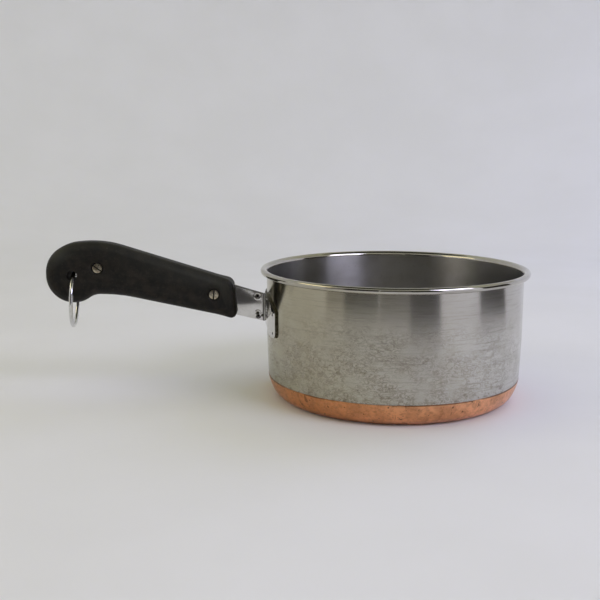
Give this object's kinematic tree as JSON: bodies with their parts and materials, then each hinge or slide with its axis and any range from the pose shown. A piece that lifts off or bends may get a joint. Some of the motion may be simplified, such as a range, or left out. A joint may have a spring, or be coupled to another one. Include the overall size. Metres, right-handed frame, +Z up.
{
  "type": "saucepan",
  "caption": "Stainless steel saucepan with a rolled rim, copper-plated bottom, black stick handle over a welded bracket, and a swinging hanging ring.",
  "frame": {"origin": "centre of the copper bottom's flat underside, where the pan rests on a table", "axes": "+Z up along the pan's axis, -X from the pan's axis towards the handle's end, Y across the handle"},
  "size_m": [0.3313, 0.184, 0.108],
  "materials": {
    "steel_body": "polished stainless steel, dulled by fine scratches and water marks",
    "copper": "copper plating, satin, with brown tarnish streaks and small pits",
    "bracket_steel": "polished stainless sheet with sheared edges and small weld marks",
    "phenolic": "moulded black phenolic, worn dull, browner and greenish grey where it has faded",
    "screw_metal": "nickel-plated brass, tarnished",
    "ring_wire": "polished steel wire"
  },
  "bodies": {
    "pan": {"pan_body": "steel_body", "copper_bottom": "copper", "bracket_near": "bracket_steel", "bracket_far": "bracket_steel", "handle_scale_near": "phenolic", "handle_scale_far": "phenolic", "front_screw": "screw_metal", "front_barrel_nut": "screw_metal", "rear_screw": "screw_metal", "rear_barrel_nut": "screw_metal"},
    "ring": {"hanging_ring": "ring_wire"}
  },
  "joints": [
    {"name": "ring_swing", "type": "hinge", "parent": "pan", "child": "ring", "pos_m": [-0.2204, 0, 0.0839], "axis": [0, 1, 0], "range_deg": [-60, 200]}
  ]
}
